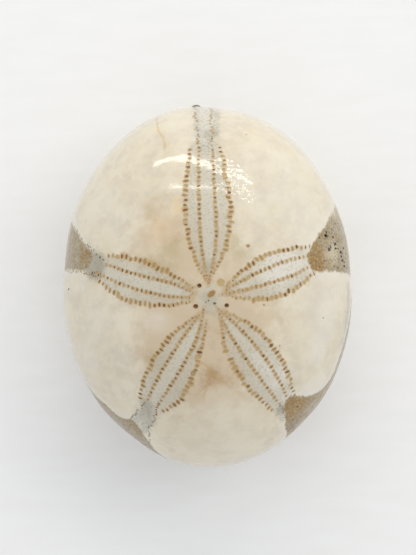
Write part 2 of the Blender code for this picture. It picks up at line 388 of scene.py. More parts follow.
# Pore rows: each run of the tree lays one kind of pore along its guide curves, square to the shell
anyPores = {"crowding": 1.0, "depth": 0.035, "sideStep": 0.05, "skip": 0.0, "firstSize": 1.0, "grownBy": 0.32,
            "taperFrom": 0.75, "lastSize": 1.0, "palest": 0.2, "rarity": 1.05, "segments": 10}
outerPores = anyPores | {
    "pitch": 0.625, "crowding": 1.10, "halfAcross": 0.34, "halfAlong": 0.182, "scatter": 0.28, "sideStep": 0.16,
    "slant": 0.26, "skip": 0.01, "firstSize": 0.38, "lastSize": 0.7, "darkest": 0.92, "seed": 11,
}
innerPores = anyPores | {
    "pitch": 0.61, "crowding": 1.10, "halfAcross": 0.232, "halfAlong": 0.163, "scatter": 0.22, "slant": 0.20,
    "firstSize": 0.45, "lastSize": 0.8, "darkest": 0.9, "seed": 23,
}
trailPores = anyPores | {
    "pitch": 0.40, "halfAcross": 0.12, "halfAlong": 0.10, "scatter": 0.45, "sideStep": 0.20, "slant": 1.5,
    "skip": 0.28, "palest": 0.3, "darkest": 1.38, "segments": 8, "seed": 37,
}
mouthPores = anyPores | {
    "pitch": 0.50, "halfAcross": 0.17, "halfAlong": 0.13, "depth": 0.10, "scatter": 0.25, "slant": 0.3,
    "firstSize": 0.8, "darkest": 1.0, "seed": 41,
}
poreLengths = ("pitch", "halfAcross", "halfAlong", "depth", "sideStep")  # given in millimetres


def poreSettings(sizes, skin, clay):
    settings = {name: size * mm if name in poreLengths else size for name, size in sizes.items()}
    return settings | {"rings": sizes["segments"] // 2 + 1, "shell": skin, "filling": clay}


def buildPoreTree(settings):
    tree, known = startGeometryTree("pore rows", settings)
    add, work = partial(addNode, tree), partial(addSteps, tree, known)
    # the pores stand closer together near the star's middle
    known["even"] = add("GeometryNodeSplineParameter").outputs["Factor"]
    work("""
        way = power even crowding; leftSlant = multiply slant -1
        smallest = subtract 1 scatter; largest = add 1 scatter
    """)
    for k, name in enumerate(("side", "turn", "size", "keep", "tone")):
        work(f"{name}Seed = add seed {k}")
    for name, least, most in (("side", -1.0, 1.0), ("turn", known["leftSlant"], known["slant"]), ("keep", 0.0, 1.0),
                              ("tone", 0.0, 1.0)):
        known[name] = add("FunctionNodeRandomValue", {"data_type": "FLOAT"}, {
            2: least, 3: most, "Seed": known[name + "Seed"],
        }).outputs[1]
    spaced = add("GeometryNodeResampleCurve", {"mode": "LENGTH"}, {
        "Curve": known["geometry"], "Length": known["pitch"],
    })
    sampled = add("GeometryNodeSampleCurve", {"mode": "FACTOR", "use_all_curves": False}, {
        "Curves": known["geometry"], "Factor": known["way"],
        "Curve Index": add("GeometryNodeCurveOfPoint").outputs["Curve Index"],
    })
    captured = add("GeometryNodeCaptureAttribute", None, {"Geometry": spaced})
    for kind, name, source in (
        ("VECTOR", "Heading", sampled.outputs["Tangent"]), ("VECTOR", "Spot", sampled.outputs["Position"]),
        ("FLOAT", "Way", known["way"].outputs[0]), ("FLOAT", "Boldness", add("GeometryNodeInputRadius").outputs[0]),
    ):
        captured.capture_items.new(kind, name)
        tree.links.new(source, captured.inputs[name])
    points, heading, spot, way, known["boldness"] = captured.outputs[:5]
    shell = add("GeometryNodeObjectInfo", None, {"Object": known["shell"]}).outputs["Geometry"]
    facing = add("GeometryNodeSampleNearestSurface", {"data_type": "FLOAT_VECTOR"}, {
        "Mesh": shell, "Value": add("GeometryNodeInputNormal"), "Sample Position": spot,
    })
    for name, start, full, least, most in (("growth", 0.0, known["grownBy"], known["firstSize"], 1.0),
                                           ("taper", known["taperFrom"], 1.0, 1.0, known["lastSize"])):
        known[name] = add("ShaderNodeMapRange", {"interpolation_type": "SMOOTHSTEP"}, {
            0: way, 1: start, 2: full, 3: least, 4: most,
        })
    unit = add("ShaderNodeSeparateXYZ", None, {0: add("GeometryNodeInputPosition")})
    known["unitHeight"] = unit.outputs[2]
    # dark pores are the rarer ones, most of all in the faint petals
    work("""
        rare = divide rarity boldness; tone = power tone rare; kept = greater_than keep skip
        side = multiply side sideStep; growth = multiply growth taper; deep = multiply unitHeight -1
    """)
    aside = add("ShaderNodeVectorMath", {"operation": "CROSS_PRODUCT"}, {0: facing, 1: heading})
    shift = add("ShaderNodeVectorMath", {"operation": "SCALE"}, {0: aside, "Scale": known["side"]})
    beside = add("ShaderNodeVectorMath", {"operation": "ADD"}, {0: spot, 1: shift})
    touching = add("GeometryNodeProximity", {"target_element": "FACES"}, {0: shell, 2: beside})
    laid = add("GeometryNodeSetPosition", None, {"Geometry": points, "Position": touching.outputs["Position"]})
    low, high, size, turn = (
        add("ShaderNodeCombineXYZ", None, {i: known[name] for i, name in enumerate(names) if name})
        for names in (("smallest",) * 3, ("largest",) * 3, ("halfAcross", "halfAlong", "depth"), ("", "", "turn"))
    )
    square = add("FunctionNodeAxesToRotation", {"primary_axis": "Z", "secondary_axis": "Y"}, {0: facing, 1: heading})
    slanted = add("FunctionNodeRotateRotation", {"rotation_space": "LOCAL"}, {0: square, 1: turn})
    grown = add("FunctionNodeRandomValue", {"data_type": "FLOAT_VECTOR"}, {
        0: low, 1: high, "Seed": known["sizeSeed"],
    })
    size = add("ShaderNodeVectorMath", {"operation": "MULTIPLY"}, {0: size, 1: grown})
    size = add("ShaderNodeVectorMath", {"operation": "SCALE"}, {0: size, "Scale": known["growth"]})
    ball = add("GeometryNodeMeshUVSphere", None, {
        "Segments": known["segments"], "Rings": known["rings"], "Radius": 1.0,
    })
    pit = add("GeometryNodeStoreNamedAttribute", {"data_type": "FLOAT", "domain": "POINT"}, {
        "Geometry": ball, "Name": "deep", "Value": known["deep"],
    })
    placed = add("GeometryNodeInstanceOnPoints", None, {
        "Points": laid, "Selection": known["kept"], "Instance": pit, "Rotation": slanted, "Scale": size,
    })
    tone = add("ShaderNodeMapRange", None, {
        0: known["tone"], 1: 0.0, 2: 1.0, 3: known["palest"], 4: known["darkest"],
    })
    toned = add("GeometryNodeStoreNamedAttribute", {"data_type": "FLOAT", "domain": "INSTANCE"}, {
        "Geometry": placed, "Name": "tone", "Value": tone,
    })
    endGeometryTree(tree, toned, known["filling"])
    return tree


def layPores(name, lines, tree, settings):
    host = guideCurves(name, lines)
    made = runTree(host, tree, settings)
    bpy.data.objects.remove(host)
    print(name, "laid,", len(made.vertices), "points")
    return made


# Single pits: (turn, reach, half width, half length, depth, tone), in millimetres. Tone 0 is pale clay, 1 dark brown,
# 2 black-grey.
singlePits = [
    (194.1, 0.306, 0.34, 0.26, 0.16, 0), (270.7, 0.789, 0.12, 0.26, 0.1, 1.9), (53.1, 0.223, 0.25, 0.19, 0.03, 0.5),
    (20, 0.657, 0.075, 0.06, 0.04, 1.1), (106.2, 0.248, 0.09, 0.07, 0.05, 1), (103.9, 0.573, 0.08, 0.07, 0.05, 1.2),
    (288.7, 0.681, 0.17, 0.1, 0.06, 1.4), (212, 0.86, 0.12, 0.1, 0.06, 0.8), (125, 0.38, 0.06, 0.05, 0.04, 1),
    (72.7, 0.634, 0.42, 0.26, 0.16, 2), (71.6, 0.645, 0.22, 0.21, 0.12, 1.8), (74.2, 0.694, 0.19, 0.34, 0.12, 1.6),
    (77.9, 0.634, 0.38, 0.29, 0.14, 1.7), (77.2, 0.652, 0.19, 0.24, 0.1, 1.9), (76.8, 0.699, 0.22, 0.4, 0.14, 1.7),
    (78.3, 0.697, 0.17, 0.38, 0.12, 2), (80, 0.749, 0.21, 0.47, 0.16, 2), (81.5, 0.751, 0.18, 0.38, 0.14, 1.9),
    (82.9, 0.759, 0.17, 0.55, 0.14, 2), (84.9, 0.781, 0.17, 0.51, 0.14, 2), (85.1, 0.696, 0.21, 0.16, 0.1, 1.3),
    (72.5, 0.581, 0.17, 0.16, 0.08, 1.5), (84.4, 0.661, 0.14, 0.13, 0.08, 1.4), (71.4, 0.701, 0.12, 0.21, 0.08, 1.4),
    (70.2, 0.76, 0.12, 0.26, 0.08, 1.3), (79, 0.8, 0.17, 0.45, 0.12, 1.8), (81, 0.84, 0.17, 0.34, 0.1, 1.7),
    (73, 0.648, 0.2, 0.18, 0.14, 2), (80.6, 0.765, 0.13, 0.22, 0.12, 1.9), (83.6, 0.785, 0.13, 0.29, 0.14, 2),
    (78.6, 0.722, 0.18, 0.18, 0.12, 1.7), (76, 0.66, 0.1, 0.15, 0.08, 1.3), (85.6, 0.83, 0.11, 0.33, 0.12, 2),
    (146, 0.882, 0.2, 0.12, 0.12, 1.8), (143.4, 0.745, 0.16, 0.14, 0.1, 0.8), (136.8, 0.751, 0.1, 0.1, 0.08, 1.4),
    (139.1, 0.684, 0.14, 0.12, 0.08, 1.1), (132.4, 0.762, 0.14, 0.1, 0.08, 1.4), (144.6, 0.83, 0.09, 0.12, 0.08, 1.5),
    (138, 0.93, 0.12, 0.16, 0.1, 1.6), (128, 1.04, 0.16, 0.12, 0.12, 1.7), (116, 0.98, 0.2, 0.08, 0.08, 1.5),
    (219, 0.82, 0.14, 0.09, 0.08, 1.3), (214.5, 0.9, 0.1, 0.08, 0.08, 1.4), (225, 0.97, 0.18, 0.1, 0.1, 1.6),
    (281.9, 0.652, 0.2, 0.16, 0.06, 0.6), (284.5, 0.74, 0.1, 0.12, 0.06, 1.3), (280.5, 0.9, 0.12, 0.16, 0.08, 1.5),
    (76, 1.06, 0.21, 0.31, 0.12, 1.8), (4, 1.05, 0.2, 0.12, 0.1, 1.5),
]
# A nub of sediment left standing on the rim at the front
nub = {"turn": 358.0, "reach": 0.985, "radius": 0.60, "height": 0.29}
# The front petal swells a little, which bends the shine across it
petalSwell = {"x": -0.2, "y": 11.5, "halfWidth": 1.9, "halfLength": 3.6, "height": 0.16}
# The egg pores and the sieve plate, in millimetres from the star's middle: across, ahead, half sizes, depth, tone and
# a twist in degrees
discPits = [
    (-1.48, 1.55, 0.3, 0.27, 0.16, 0.98, 0), (1.35, 1.87, 0.46, 0.46, 0.03, 0.15, 0),
    (-2.05, -1.15, 0.33, 0.3, 0.2, 0.9, 0), (2.01, -1.17, 0.29, 0.27, 0.16, 0.98, 0),
    (0.06, 0.4, 0.62, 0.36, 0.05, 0.6, 38), (0.44, -0.86, 0.22, 0.15, 0.08, 1.2, 0),
    (-0.34, -0.45, 0.12, 0.09, 0.04, 1.3, 0), (-0.7, -0.65, 0.09, 0.08, 0.04, 1.4, 0),
]
# Mouth in the dish underneath and vent under the back: five-sided and oval hollows packed with dark sediment
vent = {"y": -19.4, "height": 1.5, "halfWidth": 1.9, "halfHeight": 1.1, "depth": 1.0}
cornerSwing = 0.09  # how far a hollow's corners stand out, over its radius


# A hollow: a ball pressed flat, square to the shell, with an outline of a few soft corners if asked
def pitMesh(name, place, outward, sizes, tone, corners=0, segments=12, rings=7, twist=0):
    level = abs(outward.z) > 0.5
    side = Vector((0, 1, 0) if level else (0, 0, 1)).cross(outward) * (-1 if level and outward.z < 0 else 1)
    side.normalize()
    side.rotate(Quaternion(outward, math.radians(twist)))
    along = outward.cross(side)
    places, faces, deep = [], [], [-1.0]
    for ring in range(rings + 1):
        down = math.pi * ring / rings
        deep += [-math.cos(down)] * (segments if 0 < ring < rings else 0)
        for k in range(segments):
            around = 2 * math.pi * k / segments
            wide = math.sin(down) * (1 + (cornerSwing * math.cos(corners * around) if corners else 0))
            places.append(place + side * (sizes[0] * wide * math.sin(around))
                          + along * (sizes[1] * wide * math.cos(around)) + outward * (sizes[2] * math.cos(down)))
    top, bottom = places[0].copy(), places[-1].copy()
    places = [top] + places[segments:-segments] + [bottom]
    for k in range(segments):
        after = (k + 1) % segments
        faces.append([0, 1 + after, 1 + k])
        for ring in range(rings - 2):
            low = 1 + ring * segments
            faces.append([low + k, low + after, low + segments + after, low + segments + k])
        low = 1 + (rings - 2) * segments
        faces.append([low + k, low + after, len(places) - 1])
    data = bpy.data.meshes.new(name)
    data.from_pydata([p * mm for p in places], [], faces)
    storeFields(data, {"tone": [tone] * len(places), "deep": deep + [1.0]})
    return data


def laySingles(skin):
    made = []

    def lay(name, place, sizes, tone, **look):
        _, spot, outward, _ = skin.closest_point_on_mesh(place * mm)
        made.append(pitMesh(name, spot / mm, outward, sizes, tone, **look))

    for turn, reach, *sizes, tone in singlePits:
        lay("speck", shellPoint(turn, reach), sizes, tone)
    for across, ahead, *sizes, tone, twist in discPits:
        x, y = star["x"] + across, star["y"] + ahead
        lay("disc_pit", Vector((x, y, domeHeight(x, y))), sizes, tone, twist=twist)
    sizes = (mouth["radius"], mouth["radius"], mouth["depth"])
    lay("mouth", Vector((0, mouth["y"], 0)), sizes, 1.0, corners=5, segments=40, rings=16)
    sizes = (vent["halfWidth"], vent["halfHeight"], vent["depth"])
    lay("vent", Vector((0, vent["y"], vent["height"])), sizes, 1.0, segments=36, rings=14)
    print("single pits laid,", len(made))
    return made


# The nub stands out square to the shell and the swell straight up
def raiseSwells(form):
    points = pointsOf(form)
    x, y, z = points.T
    across, ahead = (x - petalSwell["x"]) / petalSwell["halfWidth"], (y - petalSwell["y"]) / petalSwell["halfLength"]
    points[:, 2] += petalSwell["height"] * np.exp(-(across**2 + ahead**2) / 2) * (z > rimHeight / mm)
    away = ((points - np.array(shellPoint(nub["turn"], nub["reach"]))) ** 2).sum(1) / nub["radius"] ** 2
    facing = np.zeros(len(points) * 3)
    form.vertex_normals.foreach_get("vector", facing)
    raised = points + facing.reshape(-1, 3) * (nub["height"] * np.exp(-(away**2)))[:, None]
    form.vertices.foreach_set("co", (raised * mm).ravel())
    form.update()


# Worn: the polish went through the shell at the petals' tips and the grey-brown sediment shows. Veiled: the shell is
# left there but so thin that it looks grey. Each outline is a few (turn, reach) points of a closed smooth curve.
outlines = {
    "worn": [
        [(64.6, 0.9), (66.2, 0.8), (68.6, 0.672), (70.6, 0.602), (73.3, 0.533), (76.8, 0.487), (80.2, 0.476),
         (84, 0.497), (85.6, 0.535), (85.6, 0.592), (86.3, 0.654), (87, 0.734), (87.5, 0.829), (88.4, 1.02),
         (84, 1.16), (76, 1.2), (68, 1.12), (64.4, 1.02)],
        [(141.4, 0.584), (137.4, 0.605), (134.8, 0.668), (131.4, 0.735), (127.4, 0.8), (123.2, 0.838), (118.4, 0.85),
         (112, 0.845), (106, 0.86), (100, 0.885), (94, 0.925), (91.5, 0.97), (97, 1.05), (108, 1.09), (122, 1.14),
         (136, 1.2), (147, 1.16), (152, 1.02), (151.5, 0.979), (148.7, 0.869), (147.5, 0.749), (145.2, 0.651)],
        [(241, 0.98), (236, 0.885), (229.4, 0.802), (225.4, 0.783), (221.4, 0.762), (218.8, 0.71), (216.4, 0.695),
         (213.8, 0.71), (211.1, 0.737), (208, 0.775), (204, 0.844), (197.5, 0.98), (204, 1.1), (215, 1.17),
         (228, 1.13)],
        [(293, 0.95), (292, 0.86), (291.2, 0.8), (289.4, 0.717), (287.6, 0.655), (285.6, 0.596), (283.5, 0.566),
         (279.9, 0.583), (277.4, 0.63), (277.3, 0.715), (277.1, 0.836), (276.4, 0.95), (276, 1.12), (283, 1.16),
         (290, 1.08)],
        [(351, 1.07), (353.5, 0.985), (358, 0.965), (4, 0.97), (12, 0.975), (18, 1), (14, 1.06), (5, 1.12),
         (357, 1.13)],
    ],
    "veiled": [
        [(6, 0.925), (15, 0.925), (25, 0.935), (34, 0.95), (44, 1), (36, 1.06), (20, 1.09), (6, 1.08)],
        [(355.2, 1), (356.6, 0.88), (356.2, 0.7), (356.4, 0.6), (356.8, 0.54), (0.2, 0.49), (5.4, 0.53), (7.4, 0.6),
         (7.9, 0.72), (7.6, 0.88), (9, 1), (2, 1.06)],
        [(288.2, 0.62), (285.6, 0.57), (284.4, 0.51), (282.6, 0.475), (279.5, 0.485), (276.8, 0.51), (275.6, 0.545),
         (276.8, 0.61), (278, 0.68), (282, 0.66)],
        [(218, 0.63), (217, 0.57), (215, 0.53), (212, 0.515), (209.2, 0.53), (208.2, 0.59), (208.8, 0.66),
         (209.4, 0.72), (213, 0.75), (217.5, 0.7)],
        [(147.5, 0.6), (146, 0.57), (142.8, 0.575), (142, 0.6), (144, 0.65), (146.5, 0.7), (148.2, 0.67)],
    ],
    "pale": [
        [(189.2, 0.448), (183.5, 0.374), (177, 0.36), (172.1, 0.355), (162.5, 0.4), (158, 0.474), (156, 0.6),
         (160, 0.8), (175, 0.86), (194, 0.8), (198, 0.6)],
    ],
}
# Stains fade out from their middle: (turn, reach, radius in mm, strength)
stains = {
    "warm": [(179.7, 0.3, 0.9, 0.55), (178, 0.32, 2.4, 0.55), (184, 0.38, 1.8, 0.45), (170, 0.36, 1.8, 0.4),
             (195, 0.22, 2.6, 0.15), (172, 0.2, 2.6, 0.15), (326, 0.21, 1.2, 0.45), (150, 0.26, 2, 0.2),
             (205, 0.15, 2.4, 0.4), (160, 0.14, 2.4, 0.3), (321, 0.2, 2.2, 0.2)],
    "peach": [(336.4, 0.3, 0.9, 0.8), (338.4, 0.335, 0.8, 0.7), (334.5, 0.27, 0.7, 0.4), (340.8, 0.714, 1, 0.6),
              (343, 0.9, 1, 0.5)],
    "pink": [(323.2, 0.238, 3.2, 0.5), (319, 0.33, 2, 0.35), (237.9, 0.302, 3.2, 0.1), (112.1, 0.247, 3, 0.4),
             (35.4, 0.28, 2.6, 0.4), (304.9, 0.294, 2.8, 0.3), (173, 0.35, 2.8, 0.4), (345.5, 0.27, 1, 0.3),
             (343.5, 0.95, 1, 0.45), (342.5, 0.84, 1.1, 0.5), (341.8, 0.74, 1.1, 0.5), (342.2, 0.66, 1.1, 0.55),
             (342.5, 0.59, 1.2, 0.5), (341.5, 0.53, 1, 0.4)],
    "shade": [(280, 0.53, 1.8, 0.75), (282, 0.57, 1.6, 0.7), (277.5, 0.56, 1.4, 0.5), (213, 0.6, 1.7, 0.5),
              (211, 0.68, 1.4, 0.4), (215, 0.54, 1.2, 0.5), (0.5, 0.6, 1.2, 0.35), (5.4, 0.62, 1.2, 0.5),
              (5.8, 0.78, 1.5, 0.45), (0.5, 0.9, 1, 0.5), (91, 0.84, 1.3, 0.5), (96, 0.84, 1.6, 0.6),
              (103, 0.83, 1.8, 0.7), (110, 0.82, 1.6, 0.6), (145.5, 0.61, 1, 0.8), (151, 0.036, 0.8, 0.7),
              (180, 0.044, 0.8, 0.6), (215, 0.03, 0.6, 0.4), (1, 0.065, 1.4, 0.65), (263, 0.085, 1.5, 0.45),
              (184, 0.08, 1.4, 0.4), (95, 0.1, 1.4, 0.35), (150, 0.1, 1.2, 0.35)],
    "beige": [(200, 0.09, 9.5, 0.95), (300, 0.25, 5, 0.3), (120, 0.2, 5, 0.25), (180, 0.3, 6, 0.6),
              (240, 0.3, 4.5, 0.1), (330, 0.3, 5, 0.35), (185, 0.55, 9, 0.25), (220, 0.31, 3, 0.6),
              (267, 0.2, 2.6, 0.35), (0, 0.15, 3.2, 0.5)],
    "frost": [(78, 0.38, 2.4, 0.9), (84, 0.32, 2, 0.6), (76, 0.26, 2, 0.5), (138, 0.34, 2.4, 0.45),
              (137, 0.47, 2.4, 0.7)],
    "olive": [(0, 0.16, 1.9, 0.5), (263, 0.14, 1.8, 0.5), (35, 0.2, 1.4, 0.4), (56, 0.21, 1.2, 0.5),
              (44, 0.17, 1.4, 0.5), (314.6, 0.21, 1.6, 0.6), (294, 0.2, 2.2, 0.8), (286, 0.32, 1.6, 0.6),
              (266, 0.18, 1.4, 0.5), (218, 0.33, 1.7, 0.8), (226, 0.37, 1.4, 0.6), (202, 0.39, 1.7, 0.6),
              (136, 0.53, 1.6, 0.6), (320, 0.36, 2.4, 0.4), (358, 0.1, 1.8, 0.6), (208, 0.29, 1.4, 0.5)],
    "smudge": [(24.3, 0.284, 0.9, 1), (22, 0.25, 0.7, 0.7), (340.2, 0.282, 0.7, 0.8), (158.6, 0.311, 1, 1.1),
               (157.4, 0.345, 0.8, 0.7), (194.5, 0.345, 0.8, 1), (196.4, 0.39, 0.8, 0.9), (288.3, 0.387, 0.9, 1.2),
               (292.7, 0.245, 1.1, 1.3), (288, 0.3, 0.9, 0.8), (91.8, 0.486, 0.8, 1), (96, 0.36, 0.7, 0.7)],
    "dark": [(358, 0.985, 1, 1.6), (141, 0.82, 2.8, 0.36), (148, 0.8, 2.2, 0.26)],
    "haze": [(131, 0.67, 1.8, 1), (126, 0.74, 1.8, 0.7), (107, 0.62, 3, 0.5), (270, 0.63, 3, 0.4), (250, 0.7, 3, 0.4),
             (238, 0.72, 3, 0.4), (243, 0.24, 2.4, 0.4), (20, 0.42, 3, 0.25), (239, 0.49, 2.4, 0.35),
             (194, 0.56, 2.6, 0.35), (119, 0.61, 2, 0.35), (55.1, 0.5, 7, 0.5), (300.5, 0.55, 7, 0.3),
             (97, 0.5, 6, 0.4), (340, 0.5, 4, 0.2), (255, 0.55, 5, 0.2)],
    "rippled": [(8, 0.452, 1.2, 1), (15, 0.456, 1.4, 1.1), (22, 0.457, 1.2, 0.6), (12, 0.37, 1.2, 0.4),
                (18, 0.36, 1.4, 0.5), (25, 0.368, 1.4, 0.5), (31, 0.38, 1.3, 0.4), (16, 0.41, 1.2, 0.4)],
    "film": [(78, 0.69, 1.7, 0.3), (80.5, 0.64, 2, 0.55), (79.5, 0.53, 1.8, 0.35), (65.9, 0.92, 2, 0.8),
             (66.4, 0.79, 1.5, 0.6), (288, 0.96, 2.2, 1.6), (283, 0.98, 2, 0.8), (278, 0.98, 1.8, 0.8)],
    "rust": [(79.5, 0.51, 2.2, 0.5), (84.5, 0.54, 1.5, 0.6), (84, 0.62, 1.6, 0.3), (74, 0.5, 1.6, 0.3),
             (71, 0.6, 1.4, 0.35), (81, 0.53, 1.4, 0.4), (76, 0.6, 1.8, 0.25), (140.5, 0.63, 1.8, 0.9),
             (143.5, 0.72, 2.8, 0.6), (137, 0.71, 1.8, 0.6), (140, 0.87, 2.2, 0.7), (147, 0.87, 1.8, 0.9),
             (128, 0.85, 2, 0.4), (216, 0.73, 1.6, 0.7), (282.5, 0.63, 2, 0.6), (208, 0.84, 2, 0.3)],
}
cracks = [
    {"line": [(343.2, 0.99), (341.6, 0.84), (341, 0.711), (341.8, 0.64), (341.4, 0.576)], "strength": 0.35},
    {"line": [(189.5, 0.261), (184, 0.27), (179.7, 0.292), (171.5, 0.332)], "strength": 0.5},
    {"line": [(179.7, 0.296), (183.2, 0.338), (184.2, 0.375)], "strength": 0.4},
]
crackReach = 3.0  # millimetres beside a crack where it still counts


def smoothLoop(corners, perSpan=6):
    corners = np.array(corners, float)
    loop = []
    for k in range(len(corners)):
        a, b, c, d = (corners[(k + i) % len(corners)] for i in (-1, 0, 1, 2))
        for t in np.arange(perSpan) / perSpan:
            loop.append(0.5 * (2 * b + (c - a) * t + (2 * a - 5 * b + 4 * c - d) * t**2
                               + (3 * b - a - 3 * c + d) * t**3))
    return np.array(loop)


# Shell unrolled flat round its top, in units of reach
def unrolled(turn, reach):
    return np.stack([reach * np.sin(np.radians(turn)), reach * np.cos(np.radians(turn))], -1)


def lineDistance(points, line):
    nearest = np.full(len(points), 1e9)
    side = np.zeros(len(points))
    for a, b in zip(line, line[1:]):
        along = b - a
        t = np.clip(((points - a) @ along) / (along @ along), 0, 1)
        away = points - (a + t[:, None] * along)
        distance = np.hypot(*away.T)
        closer = distance < nearest
        nearest = np.where(closer, distance, nearest)
        side = np.where(closer, np.sign(along[0] * away[:, 1] - along[1] * away[:, 0]), side)
    return nearest, side


def insideLoop(points, loop):
    inside = np.zeros(len(points), bool)
    for a, b in zip(loop, np.roll(loop, -1, 0)):
        crosses = (a[1] > points[:, 1]) != (b[1] > points[:, 1])
        rise = b[1] - a[1] if abs(b[1] - a[1]) > 1e-12 else 1e-12
        inside ^= crosses & (points[:, 0] < (b[0] - a[0]) * (points[:, 1] - a[1]) / rise + a[0])
    return inside


unrolledMm = 25.0  # millimetres of shell per unit of reach, about
farAway = 9.0  # stands for any distance that is too far to matter
# How far past its first and last pores a row and a petal's plate still count, and how they fade or close there
petalEnds = {"rowHold": 0.8, "rowMargin": (1.2, 0.2), "rowFade": 1.5, "startMargin": 0.6, "tipMargin": 0.5,
             "tipSlope": 0.6}


def surfacePlaces(points):
    x, y, z = points.T
    share = np.hypot(x * mm / halfWidth, y * mm / halfLength)
    bearing = np.degrees(np.arctan2(x, y))
    pull = sum(np.exp(-((((bearing - flat + 180) % 360 - 180) / shellForm["rimFlatSpread"]) ** 2))
               for flat in shellForm["rimFlats"])
    full = share / (1 - shellForm["rimFlatDepth"] * pull * np.clip(share, 0, 1.05) ** 6)
    share = np.clip(full, 0, 1)
    turn = np.degrees(np.arctan2(x * mm / halfWidth, y * mm / halfLength))
    rounded, flat = shellForm["roundedPart"], shellForm["flatShare"]
    curl = np.arcsin(np.clip(1 - z * mm / rimHeight, 0, 1)) * 2 / math.pi
    down = np.where(share > flat, rounded * curl, rounded + (1 - rounded) * (1 - share / flat))
    reach = np.where(z * mm >= rimHeight, np.arcsin(share) * 2 / math.pi, 1 + down)
    return turn, reach


# What the shader needs to know of each point of the surface, in millimetres or shares
def surfaceFields(points):
    turn, reach = surfacePlaces(points)
    flatPlace = unrolled(turn, reach)
    fields = {name: np.full(len(points), far) for name, far in (
        *((kind, -farAway) for kind in (*outlines, "petal", "between")), ("row", farAway), ("crack", farAway),
        ("crackStrength", 0.0),
    )}
    fields["reach"] = reach
    for kind, loops in outlines.items():
        for outline in loops:
            loop = smoothLoop(unrolled(*np.array(outline, float).T))
            distance, _ = lineDistance(flatPlace, np.vstack([loop, loop[:1]]))
            signed = np.where(insideLoop(flatPlace, loop), distance, -distance) * unrolledMm
            fields[kind] = np.maximum(fields[kind], signed)
    fromNub = np.sqrt(((points - np.array(shellPoint(nub["turn"], nub["reach"]))) ** 2).sum(1))
    fields["worn"] = np.maximum(fields["worn"], nub["radius"] - fromNub)
    onTop = points[:, 2] * mm > rimHeight
    dx, dy = points[:, 0] - star["x"], points[:, 1] - star["y"]
    for petal in petals.values():
        angle = math.radians(petal["bearing"])
        along = dx * math.sin(angle) + dy * math.cos(angle)
        across = dx * math.cos(angle) - dy * math.sin(angle)
        offset = {}
        for name, row in petal["rows"].items():
            offset[name] = rowOffset(row, np.clip(along, row[0] - petalEnds["rowHold"], row[2]))
            before, after = petalEnds["rowMargin"]
            beyond = np.maximum(np.maximum(row[0] - before - along, along - row[2] - after), 0)
            away = np.hypot(across - offset[name], beyond * petalEnds["rowFade"])
            fields["row"] = np.minimum(fields["row"], np.where(onTop, away, farAway))
        left, right = petal["rows"]["outerLeft"], petal["rows"]["outerRight"]
        ends = np.minimum(along - min(left[0], right[0]) + petalEnds["startMargin"],
                          (max(left[2], right[2]) - along) * petalEnds["tipSlope"] + petalEnds["tipMargin"])
        for name, side in (("petal", "outer"), ("between", "inner")):
            edge = np.minimum(across - offset[side + "Left"], offset[side + "Right"] - across)
            fields[name] = np.maximum(fields[name], np.where(onTop, np.minimum(edge, ends), -farAway))
    fields["middle"] = np.where(onTop, np.hypot(dx, dy), farAway)
    for kind, spots in stains.items():
        total = np.zeros(len(points))
        for *place, radius, strength in spots:
            away = ((points - np.array(shellPoint(*place))) ** 2).sum(1)
            total += strength * np.exp(-away / radius**2)
        fields[kind] = total * (np.clip(0.5 - fields["pale"], 0.1, 1) if kind in ("warm", "pink") else 1)
    for crack in cracks:
        distance, side = lineDistance(flatPlace, unrolled(*np.array(crack["line"], float).T))
        nearer = distance * unrolledMm < np.abs(fields["crack"])
        near = nearer & (distance * unrolledMm < crackReach)
        fields["crack"] = np.where(nearer, distance * side * unrolledMm, fields["crack"])
        fields["crackStrength"] = np.where(near, crack["strength"], fields["crackStrength"])
    return fields


def storeFields(data, fields):
    for name, values in fields.items():
        layer = data.attributes.get(name) or data.attributes.new(name, "FLOAT", "POINT")
        layer.data.foreach_set("value", np.asarray(values, np.float32))


def pointsOf(data):
    places = np.zeros(len(data.vertices) * 3)
    data.vertices.foreach_get("co", places)
    return places.reshape(-1, 3) / mm


# Polished fossil calcite: shell plates turned to calcite and worked to a porcelain gloss, cream to beige, cloudy and a
# little see-through. Where it is worn through, the sediment under it is a dull fine grey-brown limestone.
calcite = {
    "cream": "#DDD1B6", "creamPale": "#E6DCC6", "beige": "#CDB99A", "warm": "#A67F4C", "pink": "#D9BE99",
    "peach": "#E6CD9C", "lilac": "#D1C6B4", "olive": "#B9A981", "pale": "#E2D8C3", "streak": "#CFC0A0",
    "petalGrey": "#C4BEAD", "petalMiddle": "#D0C9B7", "petalDots": "#99947F", "row": "#B8A27B", "smudge": "#B08A50",
    "halo": "#B08E5A", "haze": "#E4DFD3", "crack": "#BC9B64", "veil": "#C6C1B2", "veilDots": "#8E887A",
    "shade": "#A79F8A", "disc": "#C9C3B0", "sediment": "#95815A", "sedimentGrey": "#A89B7F", "rust": "#9C7635",
    "film": "#D3C8AC", "sedimentDark": "#4E4130", "sedimentPale": "#C2B48F", "sedimentGrain": "#7C6540",
    "roughness": 0.09, "sedimentRoughness": 0.24, "ior": 1.58,
}
textureWidths = {  # width in millimetres, detail, roughness
    "cloud": (7.0, 4.0, 0.6), "patch": (2.6, 5.0, 0.65), "mottle": (1.5, 5.0, 0.62), "ragged": (0.9, 5.0, 0.7),
    "grain": (0.30, 2.0, 0.55), "speckle": (0.22, 1.0, 0.5),
}
